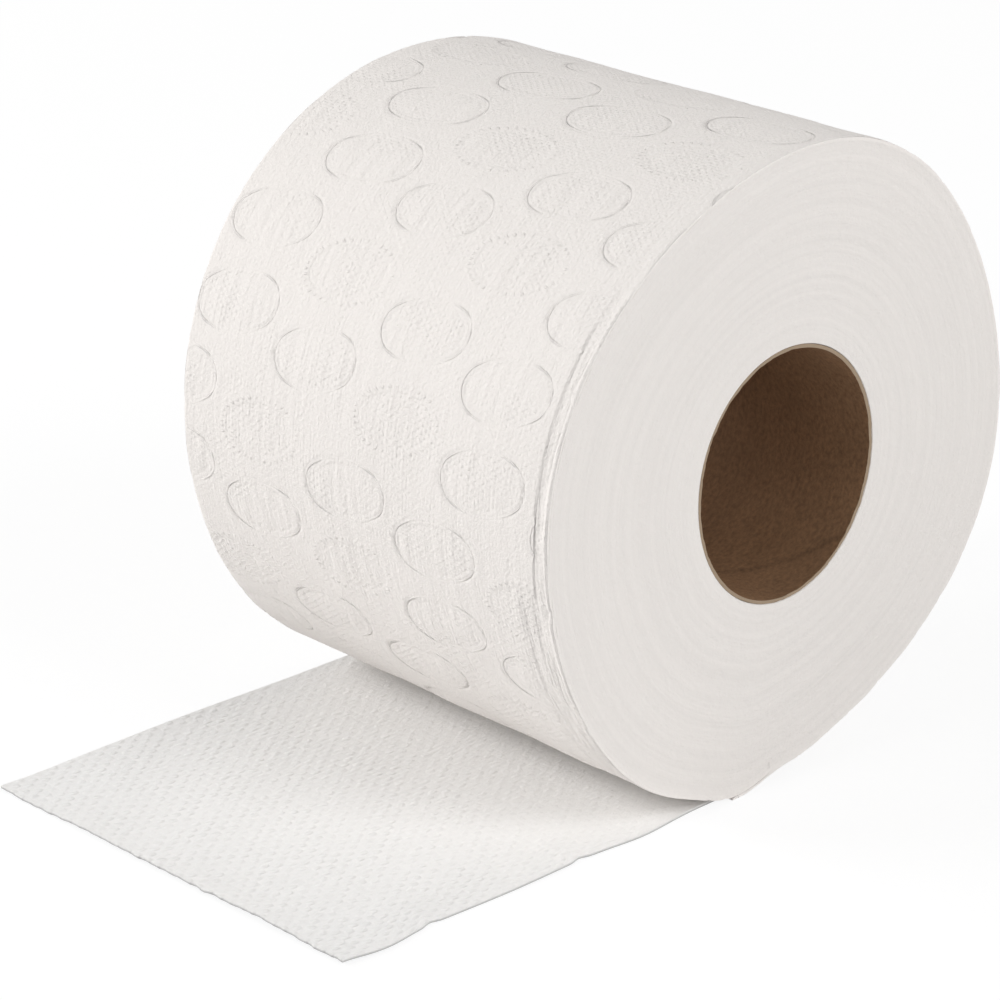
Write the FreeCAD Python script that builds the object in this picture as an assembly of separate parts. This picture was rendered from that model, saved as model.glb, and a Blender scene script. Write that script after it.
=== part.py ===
import FreeCAD, Part
import math
import os

# A toilet paper roll that lies on its side and rests on its own loose tail.
# Y runs along the roll's axis, Z is up, and the tail lies on the floor towards -X.
# The origin is on the axis of the cardboard core, halfway along it.
# Lengths are in millimetres and angles in degrees.

# The cardboard core
core_bore_radius = 23.0
core_wall = 0.6
core_glue_gap = 0.05

# The wound web of tissue
roll_radius = 60.0
roll_width = 93.0
web_thickness = 0.5
rest_sag = 0.6

# The loose tail, from straight under the axis to its torn end
tail_length = 104.0
tear_pitch = 4.1
tear_tab_width = 1.3
tear_tab_length = 0.6

# One embossed oval, longer along the axis than along the web
oval_length = 20.2
oval_width = 11.8
oval_end_radius = 4.6
oval_tilt = 11.0
emboss_depth = 0.25

# The lattice of the ovals, as steps along the web and along the axis
column_step_web = 16.3
column_step_axis = 6.4
column_zigzag = 2.7
row_step_web = -5.0
row_step_axis = 22.2
lattice_start_web = 66.7
lattice_start_axis = -33.8
dotted_row_period = 3
oval_end_margin = 10.0

# The slit on both ends where the outer turn lies loose, in quarter turns up from the flat spot
loose_quarters = 1
loose_gap = 0.15
loose_depth = 0.5

# Sizes that follow from the ones above
Y_AXIS = FreeCAD.Vector(0, 1, 0)
core_outer_radius = core_bore_radius + core_wall
web_bore_radius = core_outer_radius + core_glue_gap
quarter_gain = web_thickness / 4
first_quarter_radius = roll_radius - 3.5 * quarter_gain
floor_height = rest_sag - roll_radius
tail_top_height = floor_height + web_thickness


def outward(angle):
    """Direction away from the axis, at an angle from straight down towards the tail's side."""
    turn = math.radians(angle)
    return FreeCAD.Vector(-math.sin(turn), 0, -math.cos(turn))


def spiral_centre(quarter):
    """Centre of one quarter turn, numbered 0 to 3 from the flat spot, of the four-centre spiral."""
    across = -quarter_gain / 2 if quarter in (0, 3) else quarter_gain / 2
    height = quarter_gain / 2 if quarter in (0, 1) else -quarter_gain / 2
    return FreeCAD.Vector(across, 0, height)


def spiral_arc(quarter, radius, start, end):
    """Arc of one quarter turn, from a start to an end angle."""
    places = [spiral_centre(quarter) + outward(angle) * radius for angle in (start, (start + end) / 2, end)]
    return Part.Arc(places[0], places[1], places[2]).toShape()


def turn_outline(inset, wedge_height, heel_height):
    """Outermost turn seen from the end, set in by a depth, from the wedge at the tail round to its heel."""
    radii = [first_quarter_radius + quarter * quarter_gain - inset for quarter in range(4)]
    start = math.degrees(math.acos((spiral_centre(0).z - wedge_height) / radii[0]))
    end = 360 - math.degrees(math.acos((spiral_centre(3).z - heel_height) / radii[3]))
    limits = [start, 90, 180, 270, end]
    return [spiral_arc(quarter, radii[quarter], limits[quarter], limits[quarter + 1]) for quarter in range(4)]


def prism(edges, length):
    """Solid of a closed outline, centred on the middle of the roll."""
    outline = Part.Wire(edges)
    outline.translate(-Y_AXIS * length / 2)
    return Part.Face(outline).extrude(Y_AXIS * length)


def straight(start, end):
    return Part.LineSegment(start, end).toShape()


def ends_of(edges):
    """First and last point of a chain of edges."""
    return edges[0].firstVertex().Point, edges[-1].lastVertex().Point


def cylinder(radius, length):
    """Round bar on the roll's axis, centred on the middle of the roll."""
    return Part.makeCylinder(radius, length, -Y_AXIS * length / 2, Y_AXIS)


def make_core():
    """Spirally wound cardboard tube, cut flush with the tissue at both ends."""
    return cylinder(core_outer_radius, roll_width).cut(cylinder(core_bore_radius, 2 * roll_width))


def make_winding():
    """All the turns and the tail as one solid, before anything is pressed into it."""
    turn = turn_outline(0, tail_top_height, floor_height)
    wedge, heel = ends_of(turn)
    tip_bottom = FreeCAD.Vector(-tail_length, 0, floor_height)
    tip_top = FreeCAD.Vector(-tail_length, 0, tail_top_height)
    tail = [straight(heel, tip_bottom), straight(tip_bottom, tip_top), straight(tip_top, wedge)]
    return prism(turn + tail, roll_width).cut(cylinder(web_bore_radius, 2 * roll_width))


def surface_frame(distance):
    """Point and outward direction on the outer turn, at a distance from its top towards the tail's side."""
    upper, lower = (1, 0) if distance >= 0 else (2, 3)
    upper_radius = first_quarter_radius + upper * quarter_gain
    lower_radius = first_quarter_radius + lower * quarter_gain
    beyond = abs(distance) - upper_radius * math.pi / 2
    if beyond <= 0:
        quarter, radius, swept = upper, upper_radius, math.degrees(abs(distance) / upper_radius)
    else:
        quarter, radius, swept = lower, lower_radius, 90 + math.degrees(beyond / lower_radius)
    normal = outward(180 - math.copysign(swept, distance))
    return spiral_centre(quarter) + normal * radius, normal


def oval_outline(base, across, along):
    """Oval of four tangent arcs round a base point, longer in the along direction."""
    half_width = oval_width / 2
    reach = oval_length / 2 - oval_end_radius
    flank_radius = (half_width ** 2 + reach ** 2 - oval_end_radius ** 2) / (2 * (half_width - oval_end_radius))
    flank_centre = half_width - flank_radius
    join = math.atan2(reach, -flank_centre)
    arcs = []
    for side in (1, -1):
        flank = [(flank_centre + flank_radius * math.cos(turn), flank_radius * math.sin(turn))
                 for turn in (-join, 0, join)]
        head = [(oval_end_radius * math.cos(turn), reach + oval_end_radius * math.sin(turn))
                for turn in (join, math.pi / 2, math.pi - join)]
        for points in (flank, head):
            places = [base + across * (side * x) + along * (side * y) for x, y in points]
            arcs.append(Part.Arc(places[0], places[1], places[2]).toShape())
    return Part.Wire(arcs)


def pressed_oval(distance, height, bed):
    """Space of one oval over the bed that it is pressed down to."""
    point, normal = surface_frame(distance)
    base = point + Y_AXIS * height - normal * 2 * emboss_depth
    tilt = FreeCAD.Rotation(normal, oval_tilt)
    outline = oval_outline(base, tilt.multVec(Y_AXIS.cross(normal)), tilt.multVec(Y_AXIS))
    return Part.Face(outline).extrude(normal * 4 * emboss_depth).cut(bed)


def is_dotted(column, row):
    """In two rows of three every second oval is pressed as fine dots, which are left off this model."""
    place = row % dotted_row_period
    return (place == 1 and column % 2 == 1) or (place == 2 and column % 2 == 0)


def oval_places():
    """Middles of the line ovals on the outer turn, clear of the tail, of the flat spot and of the roll's ends."""
    wedge, heel = ends_of(turn_outline(0, tail_top_height, floor_height))
    farthest = math.pi * roll_radius - max(-wedge.x, heel.x) - math.hypot(oval_length, oval_width) / 2
    highest = roll_width / 2 - oval_end_margin
    columns = int(2 * farthest / column_step_web)
    rows = int((roll_width + columns * column_step_axis) / row_step_axis)
    places = []
    for column in range(-columns, columns + 1):
        zigzag = column_zigzag if column % 2 == 0 else -column_zigzag
        for row in range(-rows, rows + 1):
            distance = lattice_start_web + column * column_step_web + row * row_step_web
            height = lattice_start_axis + column * column_step_axis + row * row_step_axis + zigzag
            if abs(distance) < farthest and abs(height) < highest and not is_dotted(column, row):
                places.append((distance, height))
    return places


def emboss_bed():
    """The roll set in by the embossing's depth, which the ovals are pressed down to."""
    turn = turn_outline(emboss_depth, tail_top_height, tail_top_height)
    wedge, heel = ends_of(turn)
    return prism(turn + [straight(heel, wedge)], 2 * roll_width)


def loose_side(inset):
    """One side of the slit under the loose part of the outer turn, down to the wedge's mouth."""
    turn_under = tail_top_height + web_thickness + inset
    arcs = turn_outline(web_thickness + inset, turn_under, tail_top_height + inset)[-loose_quarters:]
    wedge = ends_of(turn_outline(0, tail_top_height, floor_height))[0]
    mouth = FreeCAD.Vector(wedge.x - 4 * web_thickness, 0, tail_top_height + inset)
    return arcs + [straight(ends_of(arcs)[1], mouth)]


def loose_slits():
    """Slit on each end between the loose outer turn and the turns under it, as the web leaves the roll."""
    sides = loose_side(0), loose_side(loose_gap)
    caps = [straight(ends_of(sides[0])[end], ends_of(sides[1])[end]) for end in (0, 1)]
    band = Part.Face(Part.Wire(Part.__sortEdges__(sides[0] + sides[1] + caps)))
    slits = []
    for end in (-1, 1):
        bottom = band.copy()
        bottom.translate(Y_AXIS * end * (roll_width / 2 - loose_depth))
        slits.append(bottom.extrude(Y_AXIS * end * 2 * loose_depth))
    return slits


def tear_notches():
    """Gaps between the small tabs that the torn perforation leaves along the tail's end."""
    count = int(roll_width / tear_pitch)
    gap = tear_pitch - tear_tab_width
    notches = []
    for index in range(count):
        start = (index - count / 2) * tear_pitch + tear_tab_width / 2
        corner = FreeCAD.Vector(-tail_length - tear_tab_length, start, floor_height - web_thickness)
        notches.append(Part.makeBox(2 * tear_tab_length, gap, 3 * web_thickness, corner))
    return notches


def make_web():
    """The tissue: its turns and its tail, with the pressed ovals, the loose outer turn and the torn end."""
    bed = emboss_bed()
    ovals = [pressed_oval(distance, height, bed) for distance, height in oval_places()]
    return make_winding().cut(ovals + loose_slits() + tear_notches())


def export(name, shape):
    solids = shape.Solids
    part = solids[0] if len(solids) == 1 else shape
    part.exportStep(os.path.join("parts", name + ".step"))
    print(name, "solids", len(solids), "valid", part.isValid(), "volume", round(part.Volume, 1))


os.makedirs("parts", exist_ok=True)
export("core_tube", make_core())
export("tissue_roll", make_web())
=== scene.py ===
"""Looks of a toilet paper roll lying on its side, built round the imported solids. Lengths are in metres."""
import math

import bmesh
import bpy
import numpy as np
from mathutils import Matrix, Vector


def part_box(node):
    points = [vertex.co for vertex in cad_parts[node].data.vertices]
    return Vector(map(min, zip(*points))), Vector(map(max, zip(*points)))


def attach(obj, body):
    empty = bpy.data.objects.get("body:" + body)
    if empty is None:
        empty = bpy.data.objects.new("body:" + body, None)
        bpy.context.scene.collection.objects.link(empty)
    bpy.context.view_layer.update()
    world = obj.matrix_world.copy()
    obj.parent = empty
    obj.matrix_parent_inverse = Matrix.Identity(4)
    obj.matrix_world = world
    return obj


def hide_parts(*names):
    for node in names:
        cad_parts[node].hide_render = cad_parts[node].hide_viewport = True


bl_info = {
    "name": "Toilet Paper Roll",
    "version": (1, 0, 0),
    "blender": (4, 5, 0),
    "location": "View3D > Sidebar > Paper Roll",
    "description": "Dresses the solids of a toilet paper roll in embossed tissue and kraft board",
    "category": "Add Mesh",
}

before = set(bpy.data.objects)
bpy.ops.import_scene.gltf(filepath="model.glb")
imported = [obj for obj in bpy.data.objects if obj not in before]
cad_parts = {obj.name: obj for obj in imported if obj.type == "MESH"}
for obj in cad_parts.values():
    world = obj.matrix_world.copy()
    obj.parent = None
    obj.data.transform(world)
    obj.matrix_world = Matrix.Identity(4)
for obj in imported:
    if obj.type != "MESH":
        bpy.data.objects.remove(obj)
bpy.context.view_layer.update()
web_low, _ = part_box("tissue_roll")
core_low, core_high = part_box("core_tube")

MM = 0.001
QUARTER = math.pi / 2

# The roll as the solids give it
FLOOR = web_low.z
TAIL_TIP = web_low.x
HALF_WIDTH = (core_high.y - core_low.y) / 2
CORE_RADIUS = core_high.x

# How the soft roll has settled: bulges round each end as their count, their height and the direction of
# one, in degrees from +X to +Z. The first kind is a shift of the whole end.
NEAR_BULGES = ((1, 2.07 * MM, 82), (2, 0.66 * MM, 37), (3, 0.38 * MM, -5), (4, 1.07 * MM, -22))
FAR_BULGES = ((1, 1.53 * MM, 90), (2, 0.5 * MM, 45), (3, 0.96 * MM, 21))
CORE_BULGES = ((1, 1.76 * MM, 42.5), (2, 0.71 * MM, -74.8))

# Where the roll rests and how far it is pressed flat to each side, in the same degrees. Inside the firm
# radius the turns stay round. The least share keeps the flat place from reaching up the roll's sides.
REST_DIRECTION = -98
REST_SPREAD = 7
FIRM_RADIUS = 48 * MM
LEAST_DOWN_SHARE = 0.2

# The lattice of the ovals: distances along the web from the roll's top, and along the axis from its middle
OVAL_LENGTH = 20.2 * MM
OVAL_WIDTH = 11.8 * MM
OVAL_END_RADIUS = 4.6 * MM
OVAL_TILT = math.radians(11)
LATTICE_START = (66.7 * MM, -33.8 * MM)
COLUMN_STEP = (16.3 * MM, 6.4 * MM)
ROW_STEP = (-5.0 * MM, 22.2 * MM)
ZIGZAG = 2.7 * MM
COLUMNS = range(-24, 25)
ROWS = range(-12, 16)
DOTTED_PERIOD = 3
OUTLINE_DOTS = 36

# What an oval does to the paper: how far past its heads it reaches, where the puff inside it rises and is
# full, the puff's share in a dotted oval, and the low lip round it
OVAL_REACH = 3 * MM
PUFF_RISE = (0.2 * MM, 3.2 * MM)
DOTTED_PUFF = 0.35
LIP_PLACE = 1.0 * MM
LIP_WIDTH = 0.6 * MM
LIP_SHARE = 0.3

# Strength of an oval's line: its mean, its swings as their count round the oval and their size, its
# limits, and its share on the flanks, which grows to 1 between two distances from the oval's middle
LINE_MEAN = 0.72
LINE_SWINGS = ((2, 0.3), (3, 0.28))
LINE_LIMITS = (0.35, 1.1)
FLANK_SHARE = 0.2
HEAD_RISE = (3 * MM, 8 * MM)

# Distances that stand for a point outside every oval, and for one without a line near it
FAR_OFF = 4 * MM
NO_LINE = 1.0

# The grid on the outer turn: its step, how near a line each halving of the cells begins, and how near a
# line the worn strip counts, so that it is halved once. On the flanks of an oval the cells count as a
# little farther off.
TURN_STEP = 1.45 * MM
REFINE_REACHES = (1.7 * MM, 0.95 * MM)
WORN_NEARNESS = 1 * MM
FLANK_MARGIN = 0.6 * MM
FLANK_FALL = (3.5 * MM, 6.5 * MM)
EDGE_ROWS = (0.3 * MM, 0.75 * MM)

# Random waves, as seed, count and mean length in each of two directions, and the spread with which they are
# drawn. A length of 1 goes with a direction that all points share, or with the two sides of the tail. Those
# of the turns' edges and of the wide rings are in turns and in ends of the roll.
WAVE_SPREAD = 0.7
SOFT_CREASES = (3, 30, 26 * MM, 3.2 * MM)
BROAD_DENTS = (5, 20, 60 * MM, 30 * MM)
RAGGED_EDGE = (9, 24, 4 * MM, 1)
TAIL_LIFT = (31, 14, 55 * MM, 38 * MM)
TIP_CURL = (37, 6, 1, 26 * MM)
TAIL_SCALLOPS = (41, 6, 60 * MM, 1)
TORN_TIP = (47, 20, 1, 3 * MM)
TURN_EDGES = (53, 24, 2.2, 3.0)
WIDE_RINGS = (59, 12, 30, 3.0)
BOARD_EDGE = (61, 24, 3.0 * MM, 0.8 * MM)
STRIP_WANDER = (71, 14, 17 * MM, 1)
CREASE_PATH = (9, 9 * MM, 1)
CREASE_FADES = (8, 24 * MM, 1)

# The near edge above and below the notch in it, as the places along the web where each begins, is full,
# starts to fade and ends. Then the height of its puffed rim in each, and the rim's distance from the edge
# and half width.
UPPER_BAND = (35 * MM, 60 * MM, 99 * MM, 103 * MM)
LOWER_BAND = (99 * MM, 104 * MM, 140 * MM, 172 * MM)
UPPER_RIM = 0.26 * MM
LOWER_RIM = 0.2 * MM
RIM_PLACE = 0.4 * MM
RIM_WIDTH = 0.4 * MM

# Creases beside that edge: distance from it, depth and half width, and a seed for those below the notch. All
# wander along the edge, those farther from it more, and those below the notch fade in places.
UPPER_CREASE = (1.9 * MM, 0.15 * MM, 0.5 * MM)
EDGE_CREASES = ((2.1 * MM, 0.3 * MM, 1.3 * MM, 80), (1.3 * MM, 0.24 * MM, 0.4 * MM, 81),
                (2.6 * MM, 0.25 * MM, 0.4 * MM, 83), (4.0 * MM, 0.28 * MM, 0.45 * MM, 85),
                (5.6 * MM, 0.22 * MM, 0.5 * MM, 87))
WANDER = 0.35 * MM
WANDER_GROWTH = 3 * MM
PATH_SWING = 0.25 * MM
FADE_MEAN = 0.6
FADE_SWING = 0.4

# The fold and the notch in that edge: place along the web, half width, height or depth, and the distances
# from the edge between which each fades. The fold lies slanted round a distance from the edge. The last two
# say how far from the edge the worn strip reaches below and above the notch.
FOLD_PLACE = 131 * MM
FOLD_WIDTH = 0.4 * MM
FOLD_HEIGHT = 0.28 * MM
FOLD_FADE = (2.6 * MM, 4.2 * MM)
FOLD_SLANT = 0.3
FOLD_MIDDLE = 2 * MM
NOTCH_PLACE = 102.5 * MM
NOTCH_WIDTH = 1.3 * MM
NOTCH_DEPTH = 0.42 * MM
NOTCH_FADE = (0.4 * MM, 1.6 * MM)
STRIP_FADE = (6 * MM, 8.5 * MM)
UPPER_STRIP = 3.2 * MM

# The outer turn: where it is parted in two pieces, how far it runs on under the roll at each end, how much
# wear weakens the pattern, its dents, its rounded and ragged edges, its soft creases outside the ovals and
# how they gain inside one, how far down the relief may go, and the strip that counts as an edge's face
FAR_SPLIT = -31 * MM
UNDER_RUN = 15 * MM
HEEL_RUN = 18 * MM
WORN_LOSS = 0.7
INSIDE_RISE = 0.9 * MM
DENT_HEIGHT = 0.11 * MM
ROUNDING = 0.12 * MM
ROUNDING_FADE = (-0.05 * MM, 0.5 * MM)
RAGGED = 0.05 * MM
RAGGED_FADE = (0, 0.9 * MM)
CREASE_SHARE = 0.4
CREASE_GAIN = 0.8
DEPTH_AT_EDGE = 0.2 * MM
DEPTH_GAIN = 0.42 * MM
DEPTH_RISE = (-0.2 * MM, 1.2 * MM)
EDGE_FACE = 0.02 * MM

# The loose tail: its start, the step of its grid, where it comes free of the roll, how it lifts off the
# floor, how its tip curls and is torn, and how its near edge is drawn in
TAIL_START = -8 * MM
TAIL_STEP = 0.8 * MM
FREE_RISE = (20 * MM, 60 * MM)
LIFT_MEAN = 0.28 * MM
LIFT_SWING = 0.22 * MM
CURL_HEIGHT = 0.35 * MM
CURL_LENGTH = 7 * MM
TORN_DEPTH = 0.12 * MM
TORN_LENGTH = 1.2 * MM
EDGE_BAND = 12 * MM
SCALLOP_DEPTH = 0.4 * MM
DRAWN_IN = 2.1 * MM
DRAWN_IN_RISE = 2 * MM

# Bulges and small notches of the tail's near edge: place along the tail, how far out and half width
NEAR_SCALLOPS = ((86 * MM, 1.2 * MM, 7 * MM), (75 * MM, -0.6 * MM, 1.6 * MM), (39 * MM, -0.6 * MM, 1.6 * MM),
                 (24 * MM, 1.1 * MM, 9 * MM))

# The turns under the outer one: the gap round the core, the outermost radius, the turns that widen slowly
# at the start, how the edge of each turn and the groove beside it lie back from the end, and wider rings
# over them, which fade in the last half turns
ROUND_STEPS = 240
CORE_GAP = 0.08 * MM
WINDING_RADIUS = 58.93 * MM
SLOW_TURNS = 3
TURN_SWING = 0.012 * MM
TURN_GROOVE = 0.1 * MM
RING_SWING = 0.06 * MM
LAST_HALF_TURNS = 8
SAME_PLACE = 0.002 * MM

# The core: its rows of points along the axis, the step beside each end, how ragged the cut board is, and
# the seam of its inner ply as its lead, how far round it starts as a share of a turn, the rise of its step
# and its half width
CORE_ROWS = 97
END_STEP = 0.15 * MM
BOARD_RAGGED = 0.09 * MM
SEAM_LEAD = math.radians(38.8)
SEAM_PHASE = 0.757
SEAM_RISE = 0.004
SEAM_WIDTH = 0.8 * MM
SURFACE_MARGIN = 0.05 * MM

# The soft lamps: name, place, size and share of the key lamp's power
LAMPS = (("key_lamp", (-1.4, 0.9, 1.1), 0.7, 1.0), ("fill_lamp", (0.8, -1.65, 0.25), 1.0, 0.66),
         ("back_lamp", (-0.85, 1.45, 0.5), 0.6, 0.79), ("front_lamp", (0.1, -1.5, 1.3), 0.8, 0.77))
FLOOR_GAP = 0.02 * MM

# The camera as it was fitted to the roll. The sensor's width is in millimetres.
SENSOR_WIDTH = 36
CAMERA_AZIMUTH = math.radians(-45.23)
CAMERA_ELEVATION = math.radians(22.225)
CAMERA_ROLL = math.radians(1.135)
CAMERA_TARGET = (-0.024, 0, -0.0108)
CAMERA_DISTANCE = 0.7997


class PaperRollWeb(bpy.types.PropertyGroup):
    """The tissue: its thickness and what is pressed into it."""

    thickness: bpy.props.FloatProperty(
        name="Web thickness", description="Thickness of the plies with their embossing, as wound",
        default=0.5 * MM, min=0.1 * MM, subtype="DISTANCE", unit="LENGTH", precision=5)
    radius: bpy.props.FloatProperty(
        name="Roll radius", description="Mean radius of the outermost turn",
        default=60 * MM, min=30 * MM, subtype="DISTANCE", unit="LENGTH", precision=4)
    groove_depth: bpy.props.FloatProperty(
        name="Groove depth", description="Depth of the pressed line round a line oval",
        default=0.28 * MM, min=0, subtype="DISTANCE", unit="LENGTH", precision=5)
    groove_width: bpy.props.FloatProperty(
        name="Groove width", description="Half width of that line where it is 0.37 of its depth",
        default=0.23 * MM, min=0.05 * MM, subtype="DISTANCE", unit="LENGTH", precision=5)
    pillow: bpy.props.FloatProperty(
        name="Pillow height", description="How far the paper puffs up inside an oval",
        default=0.14 * MM, min=0, subtype="DISTANCE", unit="LENGTH", precision=5)
    crease: bpy.props.FloatProperty(
        name="Crease height", description="Height of the soft creases that run round the roll",
        default=0.02 * MM, min=0, subtype="DISTANCE", unit="LENGTH", precision=5)
    colour: bpy.props.FloatVectorProperty(
        name="Tissue colour", description="Colour of the bleached tissue",
        default=(0.915, 0.873, 0.838), size=3, min=0, max=1, subtype="COLOR")
    inner_colour: bpy.props.FloatVectorProperty(
        name="Inner colour", description="Colour of the tissue's inner ply, as seen on the tail",
        default=(0.935, 0.925, 0.912), size=3, min=0, max=1, subtype="COLOR")


class PaperRollCore(bpy.types.PropertyGroup):
    """The cardboard core."""

    wall: bpy.props.FloatProperty(
        name="Board thickness", description="Thickness of the core's wound board",
        default=0.6 * MM, min=0.1 * MM, subtype="DISTANCE", unit="LENGTH", precision=5)
    seam_step: bpy.props.FloatProperty(
        name="Seam height", description="Height of the step where the inner ply's edges meet",
        default=0.16 * MM, min=0, subtype="DISTANCE", unit="LENGTH", precision=5)
    colour: bpy.props.FloatVectorProperty(
        name="Kraft colour", description="Colour of the inner ply",
        default=(0.277, 0.161, 0.088), size=3, min=0, max=1, subtype="COLOR")
    cut_colour: bpy.props.FloatVectorProperty(
        name="Cut colour", description="Colour of the board's cut ends",
        default=(0.36, 0.275, 0.195), size=3, min=0, max=1, subtype="COLOR")


class PaperRollStage(bpy.types.PropertyGroup):
    """The floor, the light and the camera."""

    floor_size: bpy.props.FloatProperty(
        name="Floor size", description="Length of the square floor's sides",
        default=6, min=1, subtype="DISTANCE", unit="LENGTH")
    sky: bpy.props.FloatProperty(
        name="Room light", description="Strength of the even light from all round", default=0.35, min=0)
    key: bpy.props.FloatProperty(
        name="Key lamp", description="Power of the large soft lamp", default=13.0, min=0, subtype="POWER",
        unit="POWER")
    lens: bpy.props.FloatProperty(
        name="Lens", description="Focal length for a 36 mm sensor", default=158.7, min=20,
        subtype="DISTANCE_CAMERA")


def waves(along, across, seed, count, length_along, length_across):
    """Soft random relief between about -1 and 1, with the given mean wave lengths in each direction."""
    draw = np.random.default_rng(seed)
    total = np.zeros_like(along)
    for _ in range(count):
        turn_along = 2 * math.pi / length_along * draw.normal(0, WAVE_SPREAD)
        turn_across = 2 * math.pi / length_across * draw.normal(0, WAVE_SPREAD)
        total += np.cos(along * turn_along + across * turn_across + draw.uniform(0, 2 * math.pi))
    return total / math.sqrt(count)


def smooth_rise(value, low, high):
    """0 below low, 1 above high and a smooth rise between."""
    share = np.clip((value - low) / (high - low), 0, 1)
    return share * share * (3 - 2 * share)


def smooth_fall(value, low, high):
    """1 below low, 0 above high and a smooth fall between."""
    return smooth_rise(-value, -high, -low)


def hump(distance, half_width):
    """1 where the distance is 0, 0.37 at the half width and almost 0 at twice that."""
    return np.exp(-(distance / half_width) ** 2)


def in_band(value, band):
    """0 outside a band and 1 in its middle; the band gives the limits of its smooth rise and fall."""
    return smooth_rise(value, band[0], band[1]) * smooth_fall(value, band[2], band[3])


def oval_places(first, last):
    """Middle of each oval between two distances along the web, and whether it is dotted."""
    reach = OVAL_LENGTH / 2
    found = []
    for column in COLUMNS:
        zigzag = ZIGZAG if column % 2 == 0 else -ZIGZAG
        for row in ROWS:
            along = LATTICE_START[0] + column * COLUMN_STEP[0] + row * ROW_STEP[0]
            across = LATTICE_START[1] + column * COLUMN_STEP[1] + row * ROW_STEP[1] + zigzag
            place = row % DOTTED_PERIOD
            dotted = (place == 1 and column % 2 == 1) or (place == 2 and column % 2 == 0)
            if first - reach < along < last + reach and abs(across) < HALF_WIDTH + reach:
                found.append((along, across, dotted))
    return found


def oval_distance(across, along):
    """Distance outside the outline of an oval of four tangent arcs, negative inside it."""
    half_width = OVAL_WIDTH / 2
    reach = OVAL_LENGTH / 2 - OVAL_END_RADIUS
    spare = half_width ** 2 + reach ** 2 - OVAL_END_RADIUS ** 2
    flank_radius = spare / (2 * (half_width - OVAL_END_RADIUS))
    flank_centre = half_width - flank_radius
    join = math.atan2(reach, -flank_centre)
    side = np.abs(across)
    height = np.abs(along)
    on_flank = np.arctan2(height, side - flank_centre) < join
    from_flank = np.hypot(side - flank_centre, height) - flank_radius
    from_head = np.hypot(side, height - reach) - OVAL_END_RADIUS
    return np.where(on_flank, from_flank, from_head)


def oval_frame(place, along, across):
    """Coordinates across and along one oval."""
    shift_along = along - place[0]
    shift_across = across - place[1]
    cos, sin = math.cos(OVAL_TILT), math.sin(OVAL_TILT)
    return shift_along * cos - shift_across * sin, shift_along * sin + shift_across * cos


def line_strength(seed, x, y):
    """How strongly the line of one oval is pressed at each point."""
    draw = np.random.default_rng(seed)
    turn = np.arctan2(y * OVAL_WIDTH, x * OVAL_LENGTH)
    strength = LINE_MEAN
    for count, size in LINE_SWINGS:
        strength = strength + size * np.cos(turn * count + draw.uniform(0, 6))
    to_heads = FLANK_SHARE + (1 - FLANK_SHARE) * smooth_rise(np.abs(y), *HEAD_RISE)
    return np.clip(strength, *LINE_LIMITS) * to_heads


def emboss(web, along, across, places):
    """Height of the pressed pattern, distance to a pressed line, and each point's place in its nearest oval.

    That place is across and along the oval, then outside its outline, then whether the oval is dotted.
    """
    height = np.zeros_like(along)
    nearest = np.full_like(along, NO_LINE)
    local = np.tile(np.array([0, 0, FAR_OFF, 0]), (len(along), 1))
    for index, place in enumerate(places):
        near = np.flatnonzero(np.hypot(along - place[0], across - place[1]) < OVAL_LENGTH / 2 + OVAL_REACH)
        if not len(near):
            continue
        x, y = oval_frame(place, along[near], across[near])
        off = oval_distance(x, y)
        puff = smooth_rise(-off, *PUFF_RISE)
        closer = off < local[near, 2]
        local[near[closer]] = np.stack([x, y, off, np.full(len(near), float(place[2]))], 1)[closer]
        if place[2]:
            height[near] += DOTTED_PUFF * web.pillow * puff
        else:
            groove = hump(off, web.groove_width) * line_strength(index, x, y)
            lip = hump(off - LIP_PLACE, LIP_WIDTH)
            height[near] += web.pillow * (puff + LIP_SHARE * lip) - web.groove_depth * groove
            to_head = np.abs(off) + FLANK_MARGIN * smooth_fall(np.abs(y), *FLANK_FALL)
            nearest[near] = np.minimum(nearest[near], to_head)
    return height, nearest, local


def edge_wear(along, across):
    """Height of the puffed and creased strip beside the near edge, and how far each point belongs to it."""
    from_edge = HALF_WIDTH + across
    upper = in_band(along, UPPER_BAND)
    lower = in_band(along, LOWER_BAND)
    wander = WANDER * waves(along, along * 0, *STRIP_WANDER)
    height = (upper * UPPER_RIM + lower * LOWER_RIM) * hump(from_edge - RIM_PLACE, RIM_WIDTH)
    place, depth, width = UPPER_CREASE
    height -= upper * depth * hump(from_edge - place - wander, width)
    for place, depth, width, seed in EDGE_CREASES:
        swing = PATH_SWING * waves(along, along * 0, seed, *CREASE_PATH)
        path = place + wander * (1 + place / WANDER_GROWTH) + swing
        fades = FADE_MEAN + FADE_SWING * waves(along, along * 0, seed + 1, *CREASE_FADES)
        height -= lower * np.maximum(fades, 0) * depth * hump(from_edge - path, width)
    fold = hump(along - FOLD_PLACE - FOLD_SLANT * (from_edge - FOLD_MIDDLE), FOLD_WIDTH)
    height += FOLD_HEIGHT * fold * smooth_fall(from_edge, *FOLD_FADE)
    height -= NOTCH_DEPTH * hump(along - NOTCH_PLACE, NOTCH_WIDTH) * smooth_fall(from_edge, *NOTCH_FADE)
    strip = smooth_fall(from_edge, *STRIP_FADE) * np.maximum(upper * (from_edge < UPPER_STRIP), lower)
    return height, strip


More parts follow.
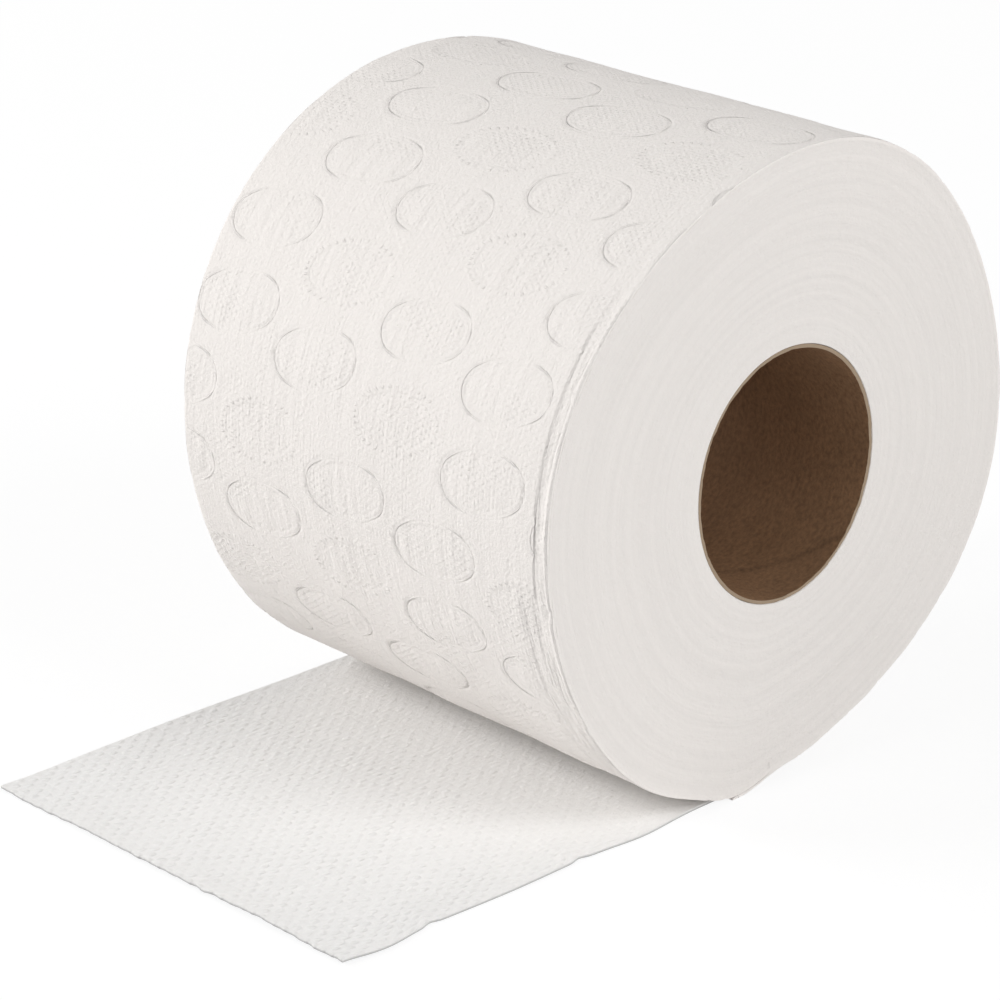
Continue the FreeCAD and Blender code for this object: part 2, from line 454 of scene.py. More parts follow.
def spiral_limits(web):
    """Gain and radii of the outer turn's four quarters, and its lengths from the top to wedge and heel.

    The last quarter's radius is half a quarter's gain short of the roll's.
    """
    gain = web.thickness / 4
    radii = [web.radius - 3.5 * gain + quarter * gain for quarter in range(4)]
    wedge_angle = math.acos((gain / 2 - FLOOR - web.thickness) / radii[0])
    heel_angle = math.acos((-gain / 2 - FLOOR) / radii[3])
    to_wedge = radii[1] * QUARTER + radii[0] * (QUARTER - wedge_angle)
    to_heel = radii[2] * QUARTER + radii[3] * (QUARTER - heel_angle)
    return gain, radii, to_wedge, to_heel


def wind(web, along):
    """Place and outward direction on the web's outside, at distances from its top towards the tail."""
    gain, radii, to_wedge, to_heel = spiral_limits(web)
    x = np.zeros_like(along)
    z = np.zeros_like(along)
    outward_x = np.zeros_like(along)
    outward_z = np.zeros_like(along)
    for sign, upper, lower, limit in ((1, 1, 0, to_wedge), (-1, 2, 3, to_heel)):
        on_side = along >= 0 if sign > 0 else along < 0
        run = np.minimum(along * sign, limit)
        first = radii[upper] * QUARTER
        swept = np.where(run <= first, run / radii[upper], QUARTER + (run - first) / radii[lower])
        radius = np.where(run <= first, radii[upper], radii[lower])
        centre_x = np.where(run <= first, gain / 2, -gain / 2)
        turn_x = -sign * np.sin(swept)
        turn_z = np.cos(swept)
        beyond = np.maximum(along * sign - limit, 0)
        place_x = centre_x + radius * turn_x + sign * beyond
        place_z = sign * gain / 2 + radius * turn_z
        x = np.where(on_side, place_x, x)
        z = np.where(on_side, place_z, z)
        outward_x = np.where(on_side, np.where(beyond > 0, 0, turn_x), outward_x)
        outward_z = np.where(on_side, np.where(beyond > 0, -1, turn_z), outward_z)
    return x, z, outward_x, outward_z


def unwound(web, angle):
    """Distance along the outer turn from the roll's top, at an angle from straight down towards the tail."""
    _, radii, to_wedge, to_heel = spiral_limits(web)
    near = radii[1] * QUARTER + radii[0] * (QUARTER - angle)
    near = np.where(angle < QUARTER, near, radii[1] * (2 * QUARTER - angle))
    far = np.where(angle < 3 * QUARTER, radii[2] * (angle - 2 * QUARTER),
                   radii[2] * QUARTER + radii[3] * (angle - 3 * QUARTER))
    return np.where(angle < 2 * QUARTER, np.minimum(near, to_wedge + UNDER_RUN), -np.minimum(far, to_heel))


def bulge(kinds, turn):
    """Height above a round outline in a direction."""
    return sum(height * np.cos(count * (turn - math.radians(direction)))
               for count, height, direction in kinds)


def settle(web, x, y, z):
    """Lets points of the wound roll give: it sags out of round, and its core sits off its middle."""
    radius = np.hypot(x, z)
    turn = np.arctan2(z, x)
    to_far = np.clip(0.5 + y / (2 * HALF_WIDTH), 0, 1)
    outer = (1 - to_far) * bulge(NEAR_BULGES, turn) + to_far * bulge(FAR_BULGES, turn)
    resting = hump(np.degrees(turn) - REST_DIRECTION, REST_SPREAD)
    to_floor = -FLOOR / np.maximum(-np.sin(turn), LEAST_DOWN_SHARE)
    outer += resting * (np.maximum(to_floor - web.radius, 0) - outer)
    inner = bulge(CORE_BULGES, turn)
    share = np.clip((radius - CORE_RADIUS) / (web.radius - web.thickness - CORE_RADIUS), 0, 1)
    scale = 1 + (inner + share * (outer - inner)) / radius
    return x * scale, np.maximum(z * scale, FLOOR)


def squeezed_radius(radius, angle, web, outermost):
    """Radius of a point of the winding, with the outer turns pressed flat where the roll rests."""
    down = np.maximum(np.cos(angle), LEAST_DOWN_SHARE)
    limit = np.minimum((-FLOOR - 2 * web.thickness) / down, outermost)
    share = np.clip((radius - FIRM_RADIUS) / (outermost - FIRM_RADIUS), 0, None)
    return np.where(radius > FIRM_RADIUS, FIRM_RADIUS + share * (limit - FIRM_RADIUS), radius)


def flat_slab(first, last, step, thickness):
    """Closed slab of web lying flat: X along the web, Y across it, with its top face in a grid."""
    made = bmesh.new()
    columns = max(1, round((last - first) / step))
    rows = max(1, round(2 * HALF_WIDTH / step))
    bmesh.ops.create_grid(made, x_segments=columns, y_segments=rows, size=0.5)
    bmesh.ops.scale(made, vec=(last - first, 2 * HALF_WIDTH, 1), verts=made.verts)
    bmesh.ops.translate(made, vec=((first + last) / 2, 0, 0), verts=made.verts)
    for inset in EDGE_ROWS:
        for side in (-1, 1):
            geom = made.verts[:] + made.edges[:] + made.faces[:]
            bmesh.ops.bisect_plane(made, geom=geom, dist=1e-7, plane_co=(0, side * (HALF_WIDTH - inset), 0),
                                   plane_no=(0, 1, 0))
    lifted = bmesh.ops.extrude_face_region(made, geom=made.faces[:] + made.edges[:] + made.verts[:],
                                           use_keep_orig=True)
    top = [item for item in lifted["geom"] if isinstance(item, bmesh.types.BMVert)]
    bmesh.ops.translate(made, vec=(0, 0, thickness), verts=top)
    bmesh.ops.recalc_face_normals(made, faces=made.faces)
    return made


def places_of(made):
    return np.array([vert.co[:] for vert in made.verts])


def move_to(made, x, y, z):
    """Puts the points of a bmesh at new places, in their own order."""
    for vert, *point in zip(made.verts, x, y, z):
        vert.co = point


def refine(made, thickness, nearness, reaches):
    """Halves the cells of the top face near the pressed lines, once for each reach."""
    for reach in reaches:
        co = places_of(made)
        made.verts.index_update()
        on_top = co[:, 2] > thickness / 2
        near = (nearness(co[:, 0], co[:, 1]) < reach) & on_top
        chosen = []
        for edge in made.edges:
            a, b = edge.verts[0].index, edge.verts[1].index
            if (near[a] or near[b]) and on_top[a] and on_top[b]:
                chosen.append(edge)
        bmesh.ops.subdivide_edges(made, edges=chosen, cuts=1, use_grid_fill=True)


def finish_mesh(made, name, material, sharp_angle=50):
    """Object of a finished bmesh, at the origin and smooth apart from its sharp corners."""
    mesh = bpy.data.meshes.new(name)
    made.to_mesh(mesh)
    made.free()
    mesh.polygons.foreach_set("use_smooth", np.ones(len(mesh.polygons), bool))
    mesh.set_sharp_from_angle(angle=math.radians(sharp_angle))
    mesh.materials.append(material)
    piece = bpy.data.objects.new(name, mesh)
    bpy.context.scene.collection.objects.link(piece)
    return piece


def write_attribute(piece, name, kind, values):
    """Gives each point of a piece a vector or a value that its material reads."""
    data_type, field = {"vector": ("FLOAT_VECTOR", "vector"), "value": ("FLOAT", "value")}[kind]
    layer = piece.data.attributes.new(name, data_type, "POINT")
    layer.data.foreach_set(field, np.asarray(values, np.float32).ravel())


def add_node(tree, kind, settings=None, inputs=None):
    """New node, with its settings and with each input linked or given its value."""
    made = tree.nodes.new(kind)
    for name, value in (settings or {}).items():
        setattr(made, name, value)
    for name, value in (inputs or {}).items():
        if isinstance(value, bpy.types.NodeSocket):
            tree.links.new(value, made.inputs[name])
        else:
            made.inputs[name].default_value = value
    return made


def maths(tree, operation, first, second=0.5, third=0.0):
    inputs = {0: first, 1: second, 2: third}
    return add_node(tree, "ShaderNodeMath", {"operation": operation}, inputs).outputs[0]


def product(tree, first, *others):
    for factor in others:
        first = maths(tree, "MULTIPLY", first, factor)
    return first


def total(tree, first, *others):
    for term in others:
        first = maths(tree, "ADD", first, term)
    return first


def ramp_between(tree, value, low, high, low_out=0.0, high_out=1.0):
    """Smooth rise from one output to the other as the value goes from low to high."""
    inputs = {"Value": value, "From Min": low, "From Max": high, "To Min": low_out, "To Max": high_out}
    made = add_node(tree, "ShaderNodeMapRange", {"interpolation_type": "SMOOTHSTEP"}, inputs)
    return made.outputs["Result"]


def attribute(tree, name, output="Fac"):
    return add_node(tree, "ShaderNodeAttribute", {"attribute_name": name}).outputs[output]


def components(tree, vector):
    return add_node(tree, "ShaderNodeSeparateXYZ", None, {0: vector}).outputs


def scaled(tree, colour, tone):
    made = add_node(tree, "ShaderNodeVectorMath", {"operation": "SCALE"}, {0: colour, "Scale": tone})
    return made.outputs[0]


def stretched_noise(tree, place, scale, detail, roughness=0.55):
    moved = add_node(tree, "ShaderNodeMapping", None, {"Vector": place, "Scale": scale})
    noise = add_node(tree, "ShaderNodeTexNoise", None,
                     {"Vector": moved.outputs[0], "Scale": 1.0, "Detail": detail, "Roughness": roughness})
    return noise.outputs["Fac"]


def tinted(tree, colour, share, dark, light):
    """The colour times a tone that runs from dark to light with the share."""
    return scaled(tree, colour, ramp_between(tree, share, 0.25, 0.75, dark, light))


def bell(tree, value, width):
    """1 where the value is 0, falling away on both sides."""
    return maths(tree, "EXPONENT", maths(tree, "MULTIPLY", product(tree, value, value), -1 / width ** 2))


def pit_rows(tree, place, pitch_along, pitch_across, low):
    """Staggered rows of pits, 1 in the middle of each; each row lies half the pitch across from the next."""
    parts = components(tree, place)
    along = maths(tree, "COSINE", maths(tree, "MULTIPLY", parts[0], 2 * math.pi / pitch_along))
    across = maths(tree, "COSINE", maths(tree, "MULTIPLY", parts[1], 2 * math.pi / pitch_across))
    return ramp_between(tree, product(tree, along, across), low, 0.95)


def new_material(name, roughness, sheen=0.0):
    """Rough material with little gloss and a little soft sheen."""
    material = bpy.data.materials.new(name)
    material.use_nodes = True
    tree = material.node_tree
    shader = tree.nodes["Principled BSDF"]
    shader.inputs["Roughness"].default_value = roughness
    shader.inputs["Specular IOR Level"].default_value = 0.2
    shader.inputs["Sheen Weight"].default_value = sheen
    shader.inputs["Sheen Roughness"].default_value = 0.6
    return material, tree, shader


def dress(tree, shader, colour, height, depth, strength=1.0):
    """Gives a surface its colour, and a fine relief that is this deep where the height is 1."""
    inputs = {"Strength": strength, "Distance": depth, "Height": height}
    bump = add_node(tree, "ShaderNodeBump", None, inputs)
    tree.links.new(bump.outputs[0], shader.inputs["Normal"])
    tree.links.new(colour, shader.inputs["Base Color"])


def pressed_pattern(tree, worn):
    """Fine height of the pressed lines and dots, from each point's place in its nearest oval in millimetres.

    The lines are strong on the oval's heads and broken in places; the worn strip has almost lost them.
    """
    oval = attribute(tree, "oval_place", "Vector")
    dotted = attribute(tree, "dotted")
    parts = components(tree, oval)
    inside = ramp_between(tree, parts[2], -1.3, -0.5, 1.0, 0.0)
    patches = stretched_noise(tree, oval, (0.16, 0.16, 0.1), 2)
    heads = ramp_between(tree, maths(tree, "ABSOLUTE", parts[1]), 3.5, 8, 0.12, 1.0)
    broken = ramp_between(tree, patches, 0.34, 0.54, 0.4, 1.0)
    line = product(tree, bell(tree, parts[2], 0.2), maths(tree, "SUBTRACT", 1.0, dotted), heads, broken)
    turn = maths(tree, "ARCTAN2", maths(tree, "MULTIPLY", parts[1], OVAL_WIDTH / OVAL_LENGTH), parts[0])
    beads = maths(tree, "COSINE", maths(tree, "MULTIPLY", turn, float(OUTLINE_DOTS)))
    beads = product(tree, ramp_between(tree, beads, 0.1, 0.8), bell(tree, parts[2], 0.32), dotted)
    share = maths(tree, "MULTIPLY_ADD", dotted, 0.3, 0.08)
    dots = product(tree, pit_rows(tree, oval, 1.7, 2.0, 0.45), inside, share)
    uneven = ramp_between(tree, patches, 0.35, 0.62, 0.15, 1.0)
    pressed = maths(tree, "MULTIPLY_ADD", line, 1.45, product(tree, total(tree, beads, dots), uneven))
    return product(tree, pressed, maths(tree, "MULTIPLY_ADD", worn, -0.85, 1.0), -1.0), inside


def tissue_material(web):
    """Bleached tissue: crepe, fibres, creases that run round the roll, and the pressed lines and dots."""
    material, tree, shader = new_material("embossed_tissue", 0.92, 0.1)
    place = attribute(tree, "web_place", "Vector")
    worn = attribute(tree, "worn")
    pressed, inside = pressed_pattern(tree, worn)
    fibres = stretched_noise(tree, place, (1.6, 2.0, 1), 4, 0.6)
    crepe = stretched_noise(tree, place, (0.8, 1.7, 1), 2, 0.5)
    creases = stretched_noise(tree, place, (0.09, 0.5, 1), 1)
    ripple = product(tree, creases, maths(tree, "MULTIPLY_ADD", inside, 1.0, 0.9))
    patchy = ramp_between(tree, stretched_noise(tree, place, (0.07, 0.07, 1), 2), 0.38, 0.66, 0.25, 1.0)
    linen = product(tree, pit_rows(tree, place, 1.4, 1.8, 0.1), patchy,
                    maths(tree, "MULTIPLY_ADD", inside, -0.2, -0.3))
    crumpled = product(tree, worn, stretched_noise(tree, place, (0.1, 0.8, 1), 3), 3.5)
    paper = total(tree, product(tree, crepe, 0.6), product(tree, fibres, 1.1), linen, ripple)
    height = total(tree, paper, pressed, crumpled)
    dress(tree, shader, tinted(tree, tuple(web.colour), fibres, 0.975, 1.015), height, 0.2 * MM)
    return material


def tail_material(web):
    """The web's inner ply: fine rows of short dashes that run along the web, stronger towards its tip, with
    painted shade in the dashes and low on its cut edges.
    """
    material, tree, shader = new_material("inner_tissue", 0.94, 0.15)
    place = attribute(tree, "web_place", "Vector")
    fibres = stretched_noise(tree, place, (1.2, 1.2, 1), 8, 0.65)
    crepe = stretched_noise(tree, place, (0.5, 1.6, 1), 3, 0.6)
    uneven = ramp_between(tree, stretched_noise(tree, place, (0.13, 0.2, 1), 2), 0.3, 0.66, 0.45, 1.0)
    to_tip = ramp_between(tree, components(tree, place)[0], 10, 75, 0.4, 1.05)
    dash = product(tree, pit_rows(tree, place, 4.0, 2.7, -0.1), uneven, to_tip)
    height = maths(tree, "SUBTRACT", total(tree, crepe, product(tree, fibres, 0.8)), dash)
    # Painted shade: the colour is up to 2% darker in the dashes' pits.
    painted_pit_shade = maths(tree, "MULTIPLY_ADD", dash, -0.02, 1.0)
    # Painted shade: the cut edges darken towards their lower border, to 0.45 of the colour on the underside.
    under = maths(tree, "MULTIPLY_ADD", attribute(tree, "underside"), -0.55, 1.0)
    colour = tinted(tree, tuple(web.inner_colour), fibres, 0.98, 1.01)
    dress(tree, shader, scaled(tree, colour, product(tree, painted_pit_shade, under)), height, 0.2 * MM)
    return material


def cut_material(web):
    """The cut ends of the turns: soft, with faint rings that follow the winding."""
    material, tree, shader = new_material("cut_tissue", 0.95, 0.2)
    place = attribute(tree, "web_place", "Vector")
    rings = stretched_noise(tree, place, (0.01, 0.01, 0.9), 5, 0.7)
    fuzz = stretched_noise(tree, place, (0.7, 0.7, 0.7), 7, 0.7)
    height = maths(tree, "MULTIPLY_ADD", rings, 0.5, fuzz)
    dress(tree, shader, tinted(tree, tuple(web.colour), rings, 0.965, 1.015), height, 0.3 * MM)
    return material


def kraft_material(core):
    """Brown kraft board, darker along its seam and tan where it is cut."""
    material, tree, shader = new_material("kraft_board", 0.85)
    place = attribute(tree, "board_place", "Vector")
    fibres = stretched_noise(tree, place, (1.0, 1.3, 1), 6, 0.7)
    mottle = stretched_noise(tree, place, (0.09, 0.12, 0.1), 4, 0.6)
    tone = product(tree, maths(tree, "MULTIPLY_ADD", mottle, 0.5, 0.75),
                   maths(tree, "MULTIPLY_ADD", attribute(tree, "seam"), -0.32, 1.0))
    brown = scaled(tree, tinted(tree, tuple(core.colour), fibres, 0.72, 1.3), tone)
    mixed = add_node(tree, "ShaderNodeMix", {"data_type": "RGBA"}, {"Factor": attribute(tree, "cut_end")})
    tree.links.new(brown, mixed.inputs[6])
    mixed.inputs[7].default_value = (*core.cut_colour, 1)
    dress(tree, shader, mixed.outputs[2], fibres, 0.08 * MM, 0.7)
    return material


def make_turn_piece(name, web, first, last, material):
    """Closed piece of the outer turn between two distances along the web, with the ovals pressed into it."""
    places = oval_places(first, last)

    def nearness(along, across):
        strip = edge_wear(along, across)[1]
        return np.minimum(emboss(web, along, across, places)[1], 2 * WORN_NEARNESS - strip * WORN_NEARNESS)

    made = flat_slab(first, last, TURN_STEP, web.thickness)
    refine(made, web.thickness, nearness, REFINE_REACHES)
    co = places_of(made)
    along, across = co[:, 0], co[:, 1]
    on_top = co[:, 2] > web.thickness / 2
    relief, _, local = emboss(web, along, across, places)
    wear, worn = edge_wear(along, across)
    relief = relief * (1 - WORN_LOSS * worn) + wear
    inside = smooth_rise(-local[:, 2], 0, INSIDE_RISE)
    to_edge = HALF_WIDTH - np.abs(across)
    relief += web.crease * waves(along, across, *SOFT_CREASES) * (CREASE_SHARE + CREASE_GAIN * inside)
    relief += DENT_HEIGHT * waves(along, across, *BROAD_DENTS)
    relief -= ROUNDING * smooth_fall(to_edge, *ROUNDING_FADE)
    relief = np.maximum(relief, -DEPTH_AT_EDGE - DEPTH_GAIN * smooth_rise(to_edge, *DEPTH_RISE))
    depth = np.where(on_top, relief, -web.thickness)
    x, z, outward_x, outward_z = wind(web, along)
    ragged = RAGGED * waves(along, across * 0, *RAGGED_EDGE) * smooth_fall(to_edge, *RAGGED_FADE)
    placed_x, placed_z = settle(web, x + outward_x * depth, across, z + outward_z * depth)
    move_to(made, placed_x, across - np.sign(across) * np.abs(ragged), placed_z)
    piece = finish_mesh(made, name, material)
    write_attribute(piece, "web_place", "vector", np.stack([along, across, depth], 1) / MM)
    local[to_edge < EDGE_FACE, 2] = FAR_OFF
    write_attribute(piece, "oval_place", "vector", local[:, :3] / MM)
    write_attribute(piece, "dotted", "value", local[:, 3])
    write_attribute(piece, "worn", "value", worn)
    return piece


def make_tail_piece(web, material):
    """Closed piece of the web from under the roll to its torn tip, with its inner ply on top."""
    length = TAIL_START - TAIL_TIP
    made = flat_slab(0, length, TAIL_STEP, web.thickness)
    co = places_of(made)
    along, across = co[:, 0], co[:, 1]
    on_top = co[:, 2] > web.thickness / 2
    to_tip = length - along
    free = smooth_rise(along, *FREE_RISE)
    lift = free * (LIFT_SWING * waves(along, across, *TAIL_LIFT) + LIFT_MEAN)
    curl = smooth_fall(to_tip, 0, CURL_LENGTH) * CURL_HEIGHT * (1 + waves(along * 0, across, *TIP_CURL))
    lift = np.maximum(lift, 0) + np.maximum(curl, 0)
    height = FLOOR + lift + np.where(on_top, web.thickness, 0)
    edge = smooth_fall(HALF_WIDTH - np.abs(across), 0, EDGE_BAND)
    scallop = SCALLOP_DEPTH * waves(along, np.sign(across), *TAIL_SCALLOPS) * edge * free
    drawn_in = DRAWN_IN * smooth_rise(along, 0, DRAWN_IN_RISE)
    for place, outward, width in NEAR_SCALLOPS:
        drawn_in = drawn_in - outward * hump(along - place, width)
    drawn_in = np.where(across < 0, drawn_in, 0) * edge
    torn = TORN_DEPTH * (1 + waves(along * 0, across, *TORN_TIP)) * smooth_fall(to_tip, 0, TORN_LENGTH)
    move_to(made, TAIL_START - along + torn, across - np.sign(across) * (drawn_in + scallop), height)
    piece = finish_mesh(made, "loose_tail", material)
    write_attribute(piece, "web_place", "vector", np.stack([along, across, 0 * along], 1) / MM)
    # 1 on the underside, where the material paints shade along the lower border of the cut edges
    write_attribute(piece, "underside", "value", 1 - on_top)
    return piece


def spun_profile(made, chain, **how):
    """Closes a chain of points into an outline and spins it once round the roll's axis."""
    edges = [made.edges.new((chain[i], chain[(i + 1) % len(chain)])) for i in range(len(chain))]
    return bmesh.ops.spin(made, geom=chain + edges, cent=(0, 0, 0), axis=(0, 1, 0), dvec=(0, 0, 0),
                          angle=2 * math.pi, steps=ROUND_STEPS, **how)


def make_winding_piece(web, material):
    """All the turns under the outer one, as one spiral with a ridge for each turn on both ends."""
    first = CORE_RADIUS + CORE_GAP
    last = WINDING_RADIUS
    turns = round((last - first) / web.thickness)
    half_pitch = (last - first) / turns / 2
    made = bmesh.new()
    chain = []
    for side in (-1, 1):
        order = range(2 * turns + 1) if side < 0 else range(2 * turns, -1, -1)
        for index in order:
            chain.append(made.verts.new((0, side * HALF_WIDTH, -(first + index * half_pitch))))
    # The outline isn't merged where it closes, because there each turn goes on one turn farther out
    spun = spun_profile(made, chain, use_merge=False)
    made.verts.index_update()
    last_ring = [item.index for item in spun["geom_last"] if isinstance(item, bmesh.types.BMVert)]
    co = places_of(made)
    radius = np.hypot(co[:, 0], co[:, 2])
    angle = np.arctan2(-co[:, 0], -co[:, 2]) % (2 * math.pi)
    angle = np.where(angle > 2 * math.pi - 1e-4, 0, angle)
    angle[last_ring] = 2 * math.pi
    half_turns = np.round((radius - first) / half_pitch).astype(int)
    wound = half_turns / 2 + angle / (2 * math.pi)
    grown = np.where(wound < SLOW_TURNS, wound ** 2 / (2 * SLOW_TURNS), wound - SLOW_TURNS / 2)
    radius = first + grown * (last - first) / (turns - SLOW_TURNS / 2)
    side = np.sign(co[:, 1])
    steps_in = TURN_SWING * (1 + waves(wound, side, *TURN_EDGES)) * (half_turns % 2 == 1)
    steps_in += (half_turns % 2 == 0) * TURN_GROOVE
    to_outside = smooth_rise(2 * turns - half_turns, 0, LAST_HALF_TURNS)
    steps_in += RING_SWING * (1 + waves(wound, side, *WIDE_RINGS)) * to_outside
    on_outside = half_turns == 2 * turns
    steps_in *= ~on_outside
    radius = squeezed_radius(radius, angle, web, last + 2 * half_pitch)
    under_x, under_z, down_x, down_z = wind(web, unwound(web, angle))
    under = np.hypot(under_x - down_x * web.thickness, under_z - down_z * web.thickness)
    sheets_below = np.where(angle < math.pi, 2, 1)
    flat = (-FLOOR - sheets_below * web.thickness) / np.maximum(np.cos(angle), LEAST_DOWN_SHARE)
    radius = np.where(on_outside, np.minimum(under, flat), radius)
    placed_x, placed_z = settle(web, -radius * np.sin(angle), co[:, 1], -radius * np.cos(angle))
    move_to(made, placed_x, side * (HALF_WIDTH - np.maximum(steps_in, 0)), placed_z)
    layer = made.verts.layers.float_vector.new("web_place")
    for vert, point in zip(made.verts, np.stack([placed_x, placed_z, radius], 1) / MM):
        vert[layer] = point
    bmesh.ops.remove_doubles(made, verts=made.verts, dist=SAME_PLACE)
    rim = [edge for edge in made.edges if len(edge.link_faces) == 1]
    bmesh.ops.holes_fill(made, edges=rim, sides=0)
    bmesh.ops.recalc_face_normals(made, faces=made.faces)
    return finish_mesh(made, "wound_turns", material, 75)


def make_core_piece(core, web, material):
    """Spirally wound board tube with its seam and its cut ends."""
    made = bmesh.new()
    inner = CORE_RADIUS - core.wall
    rows = [-HALF_WIDTH, *np.linspace(-1, 1, CORE_ROWS) * (HALF_WIDTH - END_STEP), HALF_WIDTH]
    chain = [made.verts.new((inner, height, 0)) for height in rows]
    for radius in (0.5 * (inner + CORE_RADIUS), CORE_RADIUS):
        chain.append(made.verts.new((radius, HALF_WIDTH, 0)))
    for radius in (CORE_RADIUS, 0.5 * (inner + CORE_RADIUS)):
        chain.append(made.verts.new((radius, -HALF_WIDTH, 0)))
    spun_profile(made, chain, use_merge=True)
    bmesh.ops.recalc_face_normals(made, faces=made.faces)
    co = places_of(made)
    radius = np.hypot(co[:, 0], co[:, 2])
    angle = np.arctan2(co[:, 0], co[:, 2])
    around = angle * radius
    lead = 2 * math.pi * inner * math.tan(SEAM_LEAD)
    phase = (co[:, 1] / lead - angle / (2 * math.pi) + SEAM_PHASE) % 1
    seam_gap = np.minimum(phase, 1 - phase) * lead * math.cos(SEAM_LEAD)
    step = core.seam_step * (1 - smooth_rise(phase, 0, 0.5)) * smooth_rise(phase, 0, SEAM_RISE)
    radius = radius - np.where(radius < inner + SURFACE_MARGIN, step, 0)
    at_end = np.abs(co[:, 1]) > HALF_WIDTH - SURFACE_MARGIN
    ragged = BOARD_RAGGED * (1 + waves(around, radius, *BOARD_EDGE)) * at_end
    y = co[:, 1] - np.sign(co[:, 1]) * np.maximum(ragged, 0)
    placed_x, placed_z = settle(web, radius * np.sin(angle), co[:, 1], radius * np.cos(angle))
    move_to(made, placed_x, y, placed_z)
    piece = finish_mesh(made, "cardboard_core", material)
    write_attribute(piece, "board_place", "vector", np.stack([around, y, radius], 1) / MM)
    write_attribute(piece, "cut_end", "value", at_end)
    write_attribute(piece, "seam", "value", smooth_fall(seam_gap, 0, SEAM_WIDTH))
    return piece


def seat(piece, slot, *nodes):
    """Rides a finished piece on the roll and hides the solids that it stands for; the slot is not used."""
    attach(piece, "root")
    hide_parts(*nodes)


class PAPERROLL_OT_outer_turn(bpy.types.Operator):
    """Make the outermost turn of tissue with its pressed ovals"""

    bl_idname = "paper_roll.outer_turn"
    bl_label = "Outer turn"

    def execute(self, context):
        web = context.scene.paper_roll_web
        material = tissue_material(web)
        _, _, to_wedge, to_heel = spiral_limits(web)
        near = make_turn_piece("outer_turn_near", web, FAR_SPLIT, to_wedge + UNDER_RUN, material)
        far = make_turn_piece("outer_turn_far", web, -to_heel - HEEL_RUN, FAR_SPLIT, material)
        for piece in (near, far):
            seat(piece, "white_tissue", "tissue_roll")
        return {"FINISHED"}


class PAPERROLL_OT_loose_tail(bpy.types.Operator):
    """Make the loose tail that lies on the floor, with its torn end"""

    bl_idname = "paper_roll.loose_tail"
    bl_label = "Loose tail"

    def execute(self, context):
        web = context.scene.paper_roll_web
        seat(make_tail_piece(web, tail_material(web)), "white_tissue", "tissue_roll")
        return {"FINISHED"}


class PAPERROLL_OT_wound_turns(bpy.types.Operator):
    """Make the wound turns that show on both ends of the roll"""

    bl_idname = "paper_roll.wound_turns"
    bl_label = "Wound turns"

    def execute(self, context):
        web = context.scene.paper_roll_web
        seat(make_winding_piece(web, cut_material(web)), "white_tissue", "tissue_roll")
        return {"FINISHED"}


class PAPERROLL_OT_cardboard_core(bpy.types.Operator):
    """Make the spirally wound cardboard core"""

    bl_idname = "paper_roll.cardboard_core"
    bl_label = "Cardboard core"

    def execute(self, context):
        core = context.scene.paper_roll_core
        web = context.scene.paper_roll_web
        seat(make_core_piece(core, web, kraft_material(core)), "core_cardboard", "core_tube")
        return {"FINISHED"}


def seen_straight(tree):
    """1 for what the camera sees directly, in a reflection or through something, and 0 for other light."""
    path = add_node(tree, "ShaderNodeLightPath").outputs
    seen = maths(tree, "MAXIMUM", path["Is Camera Ray"], path["Is Glossy Ray"])
    return maths(tree, "MAXIMUM", seen, path["Is Transmission Ray"])


def stage_material():
    """White for the camera and for reflections, with the roll's soft shadow kept."""
    material = bpy.data.materials.new("white_sweep")
    material.use_nodes = True
    tree = material.node_tree
    tree.nodes.remove(tree.nodes["Principled BSDF"])
    output = tree.nodes["Material Output"]
    lit = add_node(tree, "ShaderNodeBsdfDiffuse", None, {"Color": (0.9, 0.9, 0.9, 1)})
    bright = add_node(tree, "ShaderNodeEmission", None, {"Color": (1, 1, 1, 1), "Strength": 1.06})
    share = maths(tree, "MULTIPLY", seen_straight(tree), 0.82)
    mixed = add_node(tree, "ShaderNodeMixShader", None, {"Fac": share})
    tree.links.new(lit.outputs[0], mixed.inputs[1])
    tree.links.new(bright.outputs[0], mixed.inputs[2])
    tree.links.new(mixed.outputs[0], output.inputs["Surface"])
    return material


def room_light(strength):
    """Even light from all round that the camera sees as white."""
    world = bpy.data.worlds.new("white_room")
    world.use_nodes = True
    tree = world.node_tree
    background = tree.nodes["Background"]
    background.inputs["Color"].default_value = (1, 1, 1, 1)
    level = maths(tree, "MULTIPLY_ADD", seen_straight(tree), 1 - strength, strength)
    tree.links.new(level, background.inputs["Strength"])
    bpy.context.scene.world = world


def soft_lamp(name, place, size, power):
    """Round lamp that faces the roll."""
    light = bpy.data.lights.new(name, "AREA")
    light.shape = "DISK"
    light.size = size
    light.energy = power
    lamp = bpy.data.objects.new(name, light)
    lamp.location = place
    lamp.rotation_mode = "QUATERNION"
    lamp.rotation_quaternion = Vector(place).to_track_quat("Z", "Y")
    bpy.context.scene.collection.objects.link(lamp)


def photo_camera(lens):
    """Camera at the photo's angle, looking at a point inside the roll and tilted a little to one side."""
    data = bpy.data.cameras.new("photo_camera")
    data.sensor_width = SENSOR_WIDTH
    data.lens = lens
    data.clip_start = 0.05
    data.clip_end = 50
    azimuth, elevation = CAMERA_AZIMUTH, CAMERA_ELEVATION
    back = Vector((math.sin(azimuth) * math.cos(elevation), -math.cos(azimuth) * math.cos(elevation),
                   math.sin(elevation)))
    right = Vector((math.cos(azimuth), math.sin(azimuth), 0))
    up = back.cross(right)
    tilted_right = right * math.cos(CAMERA_ROLL) + up * math.sin(CAMERA_ROLL)
    tilted_up = up * math.cos(CAMERA_ROLL) - right * math.sin(CAMERA_ROLL)
    turn = Matrix((tilted_right, tilted_up, back)).transposed()
    camera = bpy.data.objects.new("photo_camera", data)
    camera.matrix_world = Matrix.Translation(Vector(CAMERA_TARGET) + back * CAMERA_DISTANCE) @ turn.to_4x4()
    bpy.context.scene.collection.objects.link(camera)
    bpy.context.scene.camera = camera


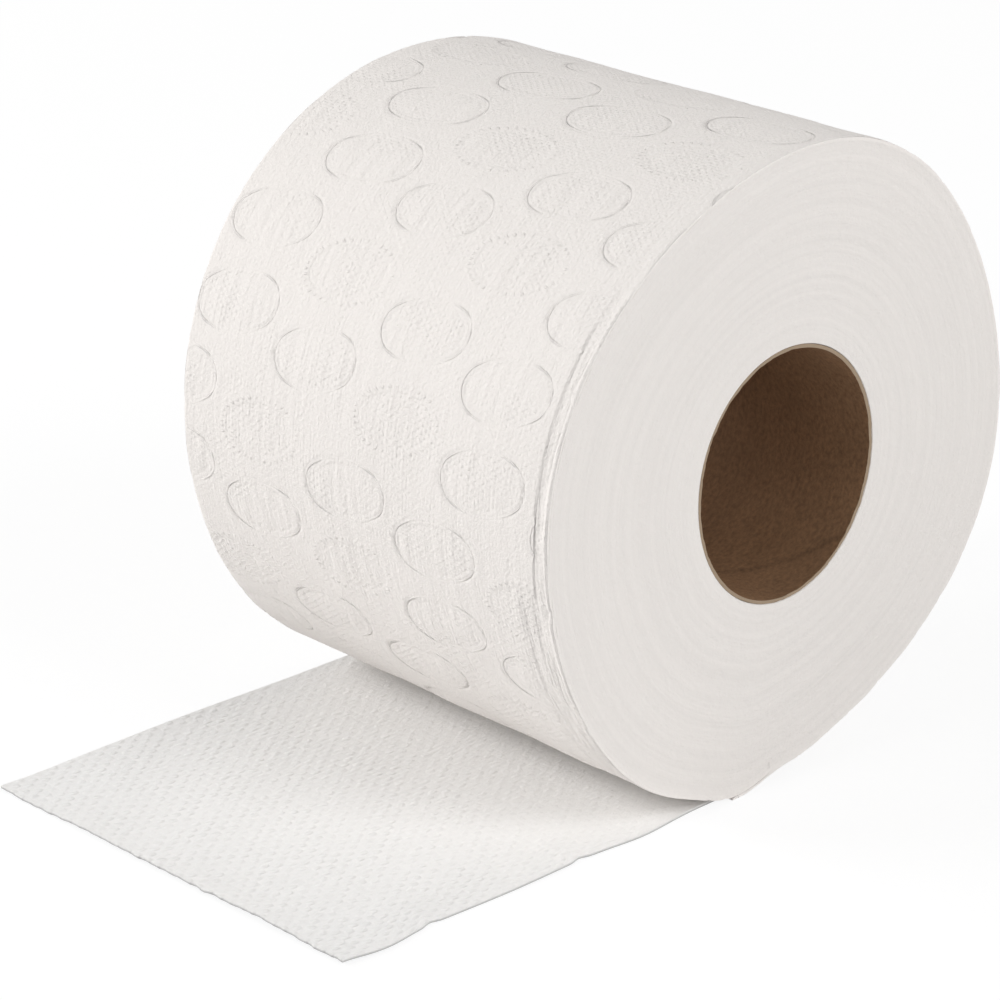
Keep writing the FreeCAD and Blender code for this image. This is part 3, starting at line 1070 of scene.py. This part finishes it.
class PAPERROLL_OT_stage(bpy.types.Operator):
    """Make the white floor, the soft lamps and the camera"""

    bl_idname = "paper_roll.stage"
    bl_label = "Stage"

    def execute(self, context):
        stage = context.scene.paper_roll_stage
        made = bmesh.new()
        bmesh.ops.create_grid(made, x_segments=1, y_segments=1, size=stage.floor_size / 2)
        bmesh.ops.translate(made, vec=(0, 0, FLOOR - FLOOR_GAP), verts=made.verts)
        floor = finish_mesh(made, "floor", stage_material())
        room_light(stage.sky)
        for name, place, size, share in LAMPS:
            soft_lamp(name, place, size, share * stage.key)
        photo_camera(stage.lens)
        bpy.context.scene.view_settings.view_transform = "Standard"
        return {"FINISHED"}


class PAPERROLL_PT_panel(bpy.types.Panel):
    """Lists the steps that dress the roll"""

    bl_label = "Paper Roll"
    bl_idname = "PAPERROLL_PT_panel"
    bl_space_type = "VIEW_3D"
    bl_region_type = "UI"
    bl_category = "Paper Roll"

    def draw(self, context):
        layout = self.layout
        for group_name in GROUPS:
            group = getattr(context.scene, group_name)
            box = layout.box()
            for name in group.__annotations__:
                box.prop(group, name)
        for step in STEPS:
            layout.operator(step.bl_idname)


GROUPS = {"paper_roll_web": PaperRollWeb, "paper_roll_core": PaperRollCore,
          "paper_roll_stage": PaperRollStage}
STEPS = (PAPERROLL_OT_cardboard_core, PAPERROLL_OT_wound_turns, PAPERROLL_OT_outer_turn,
         PAPERROLL_OT_loose_tail, PAPERROLL_OT_stage)


def register():
    for kind in (*GROUPS.values(), *STEPS, PAPERROLL_PT_panel):
        bpy.utils.register_class(kind)
    for name, group in GROUPS.items():
        setattr(bpy.types.Scene, name, bpy.props.PointerProperty(type=group))


def unregister():
    for name in GROUPS:
        delattr(bpy.types.Scene, name)
    for kind in (PAPERROLL_PT_panel, *STEPS[::-1], *list(GROUPS.values())[::-1]):
        bpy.utils.unregister_class(kind)


def main():
    register()
    bpy.ops.paper_roll.cardboard_core()
    bpy.ops.paper_roll.wound_turns()
    bpy.ops.paper_roll.outer_turn()
    bpy.ops.paper_roll.loose_tail()
    bpy.ops.paper_roll.stage()


if __name__ == "__main__":
    main()
